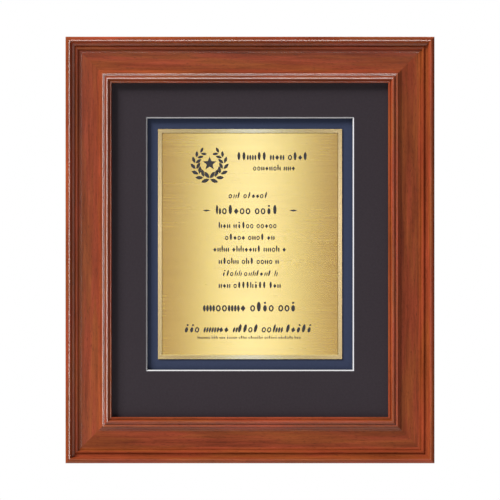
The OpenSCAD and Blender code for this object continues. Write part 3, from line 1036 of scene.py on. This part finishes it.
hardboard_felt = build_hardboard_felt()
hardboard, shader, place = new_material("hardboard_face")
felt = use_group(hardboard_felt, place)
scuffed = use_group(handling, place, Scratches=0.5)["Scratch"] * 0.5
brown = mix_color(felt["Mix"], (0.10, 0.045, 0.020, 1), (0.27, 0.145, 0.070, 1))
fill(shader, {"Base Color": mix_color(scuffed, brown, (0.42, 0.27, 0.15, 1)),
              "Roughness": spread(felt["Mix"], 0, 1, 0.62, 0.78), "Normal": bump(felt["Height"], 0.00015)})
panel_lo, panel_hi = box["back_panel"]
ease = 0.4 * mm
PANEL = [(ease, panel_hi.y), (ease * 0.3, panel_hi.y - ease * 0.3), (0, panel_hi.y - ease), (0, panel_lo.y)]
panel_rings = [rectangle(panel_hi.x - inset, panel_hi.z - inset, y, Vector()) for inset, y in PANEL]
panel = tidy_mesh(skin("back_panel_eased", panel_rings, "caps", hardboard), 50)
hand_over(panel, "frame", "hardboard", "back_panel")

# %% [markdown]
# ## Metal fittings
# All the small fittings are zinc-plated steel. Fresh plating is a cool, slightly cloudy white
# metal with fine scratches, a little duller where it has been handled.

# %% Zinc and nail materials
def plated_material(name, color, stain, roughness, scratches):
    """Plated steel with clouds, smears and scratches."""
    material, shader, place = new_material(name)
    worn = use_group(handling, place, Scratches=scratches)
    cloud = noise(place, 160, 3, 0.55)
    tint = mix_color(spread(cloud, 0.35, 0.7), color, stain)
    rough = spread(cloud, 0.3, 0.7, roughness, roughness + 0.12) + worn["Smear"] * 0.08
    fill(shader, {"Base Color": mix_color(worn["Scratch"], tint, (0.86, 0.86, 0.84, 1)), "Roughness": rough,
                  "Metallic": 1.0, "Normal": bump(noise(place, 900, 2), 0.00003, 0.4)})
    return material


zinc = plated_material("zinc_plate", (0.62, 0.63, 0.62, 1), (0.48, 0.49, 0.47, 1), 0.26, 0.8)
nail_steel = plated_material("nail_steel", (0.44, 0.44, 0.43, 1), (0.32, 0.31, 0.29, 1), 0.34, 0.5)
print("plated steel:", zinc.name, "and", nail_steel.name)

# %% [markdown]
# A turn button is a flat finger that swings over the panel's edge. It is a stack of rings like
# the mats: each ring is its round-ended outline, or the screw hole, at one height, so the edges
# can be eased and the hole stays open. Each of the six turns by itself, so each is a piece.

# %% Turn buttons
def finger(reach, radius, height, steps=48):
    """Points of a round-ended outline from the origin along X."""
    turns = [2 * math.pi * (i + 0.5) / steps for i in range(steps)]
    return [((reach if math.cos(t) > 0 else 0) + radius * math.cos(t), radius * math.sin(t), height)
            for t in turns]


button_lo, button_hi = box["turn_button_left_upper"]
button_r = (button_hi.z - button_lo.z) / 2
button_reach = button_hi.x - button_lo.x - 2 * button_r
button_t = button_hi.y - button_lo.y
shank_r = 1.4 * mm
running_fit = 0.08 * mm
hole_r = shank_r + running_fit
soft = 0.22 * mm
FINGER = [(button_reach, button_r - 0.5 * soft, 0), (button_reach, button_r, 0.5 * soft),
          (button_reach, button_r, button_t - soft),
          (button_reach, button_r - 0.3 * soft, button_t - 0.3 * soft),
          (button_reach, button_r - soft, button_t), (0, hole_r + 0.5 * soft, button_t),
          (0, hole_r, button_t - 0.5 * soft), (0, hole_r, 0)]
for name in [n for n in box if n.startswith("turn_button_") and n != "turn_button_screws"]:
    middle = (box[name][0] + box[name][1]) / 2 - hinge[name]
    points_at = math.atan2(-middle.z, middle.x)
    button = skin(name + "_finger", [finger(*ring) for ring in FINGER], "loop", zinc)
    stand = Matrix.Translation((hinge[name].x, box[name][0].y, hinge[name].z))
    button.data.transform(stand @ Matrix.Rotation(points_at, 4, "Y") @ rotation(-90, "X"))
    hand_over(tidy_mesh(button), name, "zinc", name)

# %% [markdown]
# ## Repeated fasteners
# Screws, V-nails and bumpers are each one shape, set in many places. The shape is made once;
# points say where it goes and how it is turned, and a small geometry tree puts a copy on each
# point. Realize Instances then makes real geometry of the copies, which an export can keep.

# %% Tree that repeats one shape
def build_repeat_tree():
    """A copy of the shape on every point, turned about Y by the attribute `turn`."""
    tree, given, out = geometry_tree("repeated_fastener", [
        ("Shape", "Object"), ("Size", "Float", 1.0), ("Finish", "Material")])
    shape = geo("ObjectInfo", {"Object": given["Shape"]})["Geometry"]
    copies = geo("InstanceOnPoints", {"Points": given["Geometry"], "Instance": shape,
                                      "Rotation": turned_by("Y"), "Scale": given["Size"]})
    fill(out, {0: finished(copies, given["Finish"])})
    return tree


repeat_tree = build_repeat_tree()
print("repeat tree has", len(repeat_tree.nodes), "nodes")


def repeat(name, shape, places, material, slot, crease=35):
    """Set a shape on (place, turn) pairs, as the piece that stands for the node `name`."""
    points = marked_points(name + "_places", [place for place, turn in places],
                           {"turn": ("FLOAT", [turn for place, turn in places])})
    made = grow(name + "_set", points, repeat_tree, {"Shape": shape, "Finish": material})
    bpy.data.objects.remove(shape)
    hand_over(tidy_mesh(made, crease), "frame", slot, name)

# %% [markdown]
# A screw is turned on a lathe: a domed pan head, a shank with thread ridges, and a point. The
# cross recess is then cut by two crossed bars. The heads end up turned at random, as they do
# when somebody drives them by hand.

# %% Screws
head_r = 3 * mm
head_t = 1.7 * mm
recess_w = 0.8 * mm
recess_d = 0.9 * mm
thread_pitch = 1.1 * mm
root_r = shank_r * 0.76
STRAP_SCREWS = (10 * mm, 21 * mm)


def screw_shape(depth):
    """Pan-head wood screw whose head sits on the plane y = 0 and points to +Y."""
    tilts = [math.radians(t) for t in range(15, 90, 15)]
    dome = [(head_r, 0.25 * head_t)] + [
        (head_r * math.cos(t), head_t * (0.25 + 0.75 * math.sin(t))) for t in tilts]
    neck = [(head_r * 0.96, 0), (shank_r, 0), (shank_r, -1.2 * mm)]
    ridges = []
    z = -1.5 * mm
    while z > -depth + 3 * shank_r:
        ridges += [(root_r, z), (shank_r, z - thread_pitch * 0.5), (root_r, z - thread_pitch * 0.62)]
        z -= thread_pitch
    tip = [(shank_r * 0.7, -depth + 2 * shank_r), (shank_r * 0.12, -depth + 0.2 * mm), (0, -depth)]
    profile = [(0, head_t)] + dome[::-1] + neck + ridges + tip
    made = lathe("screw", profile)
    for across, along in ((head_r, recess_w), (recess_w, head_r)):
        corners = [(across / 2 * a, along / 2 * b) for a, b in ((-1, -1), (1, -1), (1, 1), (-1, 1))]
        bar = prism("recess_bar", [corners], head_t)
        bar.data.transform(Matrix.Translation((0, 0, head_t - recess_d)))
        made = combine(made, bar, "DIFFERENCE")
    made.data.transform(rotation(-90, "X"))
    return made


hand = random.Random(7)


def seats(spots, y):
    """Screw places at one height, each turned at random."""
    return [((x, y, z), hand.uniform(0, math.pi / 2)) for x, z in spots]


button_spots = [(p.x, p.z) for n, p in hinge.items() if n.startswith("turn_button")]
strap_spots = [(p.x + math.copysign(out, p.x), p.z) for n, p in hinge.items()
               if n.startswith("d_ring") for out in STRAP_SCREWS]
for name, spots in (("turn_button_screws", button_spots), ("hanger_screws", strap_spots)):
    seat_y = box[name][1].y - head_t
    repeat(name, screw_shape(seat_y - box[name][0].y), seats(spots, seat_y), zinc, "zinc")

# %% [markdown]
# A V-nail is a short piece of folded steel strip, driven across the mitre from behind so that
# its two wings pull the rails together. Two lie in each corner, with their points to the corner.

# %% V-nails
wing, sheet = 6 * mm, 0.8 * mm
c = math.cos(math.radians(45))
vee = [(0, 0), (-wing * c, wing * c), (-(wing + sheet) * c, (wing - sheet) * c), (-2 * sheet * c, 0),
       (-(wing + sheet) * c, (sheet - wing) * c), (-wing * c, -wing * c)]
nail_lo, nail_hi = box["v_nails"]
proud = 0.05 * mm
nail = prism("v_nail", [vee], nail_hi.y - nail_lo.y + proud, 0.12 * mm)
nail.data.transform(Matrix.Translation((0, back_y + proud, 0)) @ rotation(90, "X"))
NAIL_SPOTS = (13 * mm, 31 * mm)
nail_places = [((sx * (frame_w / 2 - u), 0, sz * (frame_h / 2 - u)), -math.atan2(sz, sx))
               for sx in (-1, 1) for sz in (-1, 1) for u in NAIL_SPOTS]
repeat("v_nails", nail, nail_places, nail_steel, "steel", 25)

# %% [markdown]
# Rubber bumpers keep the frame off the wall, so that air can pass behind it and it doesn't mark
# the paint. Moulded rubber is dull and picks up pale dust, so its colour is broken by a fine
# speckle and its edge is well rounded.

# %% Bumpers
bumper_lo, bumper_hi = box["bumpers"]
bumper_t = bumper_hi.y - bumper_lo.y
bumper_r = 6 * mm
soft_r = bumper_t / 4
rubber, shader, place = new_material("moulded_rubber")
dust = spread(noise(place, 900, 3, 0.6), 0.5, 0.8)
fill(shader, {"Base Color": mix_color(dust, (0.022, 0.022, 0.024, 1), (0.085, 0.082, 0.078, 1)),
              "Roughness": spread(dust, 0, 1, 0.55, 0.85), "Normal": bump(dust, 0.0001)})
rounding = arc(bumper_r - soft_r, bumper_t - soft_r, soft_r, 0, 90, 6)
foot_profile = [(0, 0), (bumper_r - 0.1 * mm, 0), (bumper_r, 0.3 * mm)] + rounding
foot_profile += [(bumper_r * 0.4, bumper_t), (0, bumper_t)]
foot = lathe("bumper", foot_profile)
foot.data.transform(rotation(-90, "X"))
feet = [((sx * (bumper_hi.x - bumper_r), bumper_lo.y, sz * (bumper_hi.z - bumper_r)), 0.0)
        for sx in (-1, 1) for sz in (-1, 1)]
repeat("bumpers", foot, feet, rubber, "bumper_rubber")

# %% [markdown]
# ## Hangers
# A strap hanger is one strip of sheet steel, folded double round the straight side of the
# D-ring, so its side view is a long thin C and its plan is a tongue with two holes. Where both
# views overlap is the part: two prisms and one Boolean give the fold, the gap between the
# layers, the round end and the holes.

# %% Hanger straps
ring_lo, ring_hi = box["d_ring_left"]
wire_r = (ring_hi.y - ring_lo.y) / 2
strap_w = box["hanger_left"][1].z - box["hanger_left"][0].z
strap_end = hinge["d_ring_left"].x - box["hanger_left"][0].x
strap_t = 1.6 * mm
barrel_r = hinge["d_ring_left"].y - back_y
bore_r = wire_r + running_fit
slit = 0.05 * mm
screw_fit = 0.03 * mm


def strap_shape():
    """Left strap with the ring's hinge at the origin, and the strap along -X."""
    low, top = -barrel_r, -barrel_r + strap_t
    seam = (low + top) / 2
    around = math.degrees(math.asin(-top / barrel_r))
    barrel = arc(0, 0, barrel_r, -90, 180 + around, 30)
    upper = math.degrees(math.asin(-(seam + slit) / bore_r))
    lower = math.degrees(math.asin(-(seam - slit) / bore_r))
    bore = arc(0, 0, bore_r, 180 + upper, -180 + lower, 30)
    side = [(-strap_end, low)] + barrel + [(-strap_end, top), (-strap_end, seam + slit)]
    side += bore + [(-strap_end, seam - slit)]
    fold = prism("fold", [side], strap_w)
    fold.data.transform(Matrix.Translation((0, 0, -strap_w / 2)))
    round_x = -strap_end + strap_w / 2
    half = strap_w / 2
    tongue = arc(round_x, 0, half, 90, 270, 24) + [(barrel_r + mm, -half), (barrel_r + mm, half)]
    holes = [arc(-out, 0, shank_r + screw_fit, 0, 345, 23) for out in STRAP_SCREWS]
    plan = prism("plan", [tongue] + holes, 8 * barrel_r)
    plan.data.transform(rotation(90, "X") @ Matrix.Translation((0, 0, -4 * barrel_r)))
    return combine(fold, plan, "INTERSECT")


for name in ("hanger_left", "hanger_right"):
    ring_name = name.replace("hanger", "d_ring")
    strap = strap_shape()
    strap.name = name + "_strap"
    strap.data.materials.append(zinc)
    flip = Matrix.Scale(-1, 4, (1, 0, 0)) if hinge[ring_name].x > 0 else Matrix.Identity(4)
    strap.data.transform(Matrix.Translation(hinge[ring_name]) @ flip)
    hand_over(tidy_mesh(strap, 35), "frame", "zinc", name)

# %% [markdown]
# The D-ring is round wire bent along a path: a straight bar through the strap, two tight
# corners, two legs and a half-round bow. The path is a chain of arcs, and Curve to Mesh gives it
# its wire. Each ring swings on its own hinge, so there are two pieces.

# %% D-rings
def build_wire_tree():
    """Round wire along a closed path."""
    tree, given, out = geometry_tree("bent_wire", [
        ("Wire Radius", "Float", 0.001), ("Sides", "Int", 20), ("Finish", "Material")])
    path = geo("MeshToCurve", {"Mesh": given["Geometry"]})
    section = geo("CurvePrimitiveCircle", {"Resolution": given["Sides"], "Radius": given["Wire Radius"]})
    wire = geo("CurveToMesh", {"Curve": path, "Profile Curve": section})
    fill(out, {0: finished(wire, given["Finish"])})
    return tree


wire_tree = build_wire_tree()
bow_r = (ring_hi.z - ring_lo.z) / 2 - wire_r
corner_r = 2 * mm
bow_x = ring_hi.x - hinge["d_ring_left"].x - wire_r - bow_r
bar = bow_r - corner_r
ring_path = (arc(corner_r, bar, corner_r, 180, 90, 10) + arc(bow_x, 0, bow_r, 90, -90, 40)
             + arc(corner_r, -bar, corner_r, 270, 180, 10))
for name in ("d_ring_left", "d_ring_right"):
    away = math.copysign(1, -hinge[name].x)
    path = polyline(name + "_path", [(x * away, 0, z) for x, z in ring_path])
    ring = grow(name + "_wire", path, wire_tree, {"Wire Radius": wire_r, "Finish": zinc})
    ring.data.transform(Matrix.Translation(hinge[name]))
    hand_over(tidy_mesh(ring), name, "zinc", name)

# %% [markdown]
# ## Floor
# The frame hangs on a wall that isn't shown. A pale, faintly mottled studio floor lies well
# below it, and is only seen from the side views.

# %% Floor
floor_finish, shader, place = new_material("studio_floor")
speckle = use_group(paper_grain, place, Contrast=0.06)
fill(shader, {"Base Color": tinted((0.82, 0.82, 0.81, 1), speckle["Tone"]), "Roughness": 0.9})
floor_z = box["rail_bottom"][0].z - 0.6
floor_r = 2.2
turns = [math.radians(a) for a in range(0, 360, 4)]
disc = [(floor_r * math.cos(t), floor_r * math.sin(t), floor_z) for t in turns]
floor_mesh = bpy.data.meshes.new("studio_floor")
floor_mesh.from_pydata(disc, [], [tuple(range(len(disc)))])
floor_mesh.materials.append(floor_finish)
floor = add_object("studio_floor", floor_mesh)
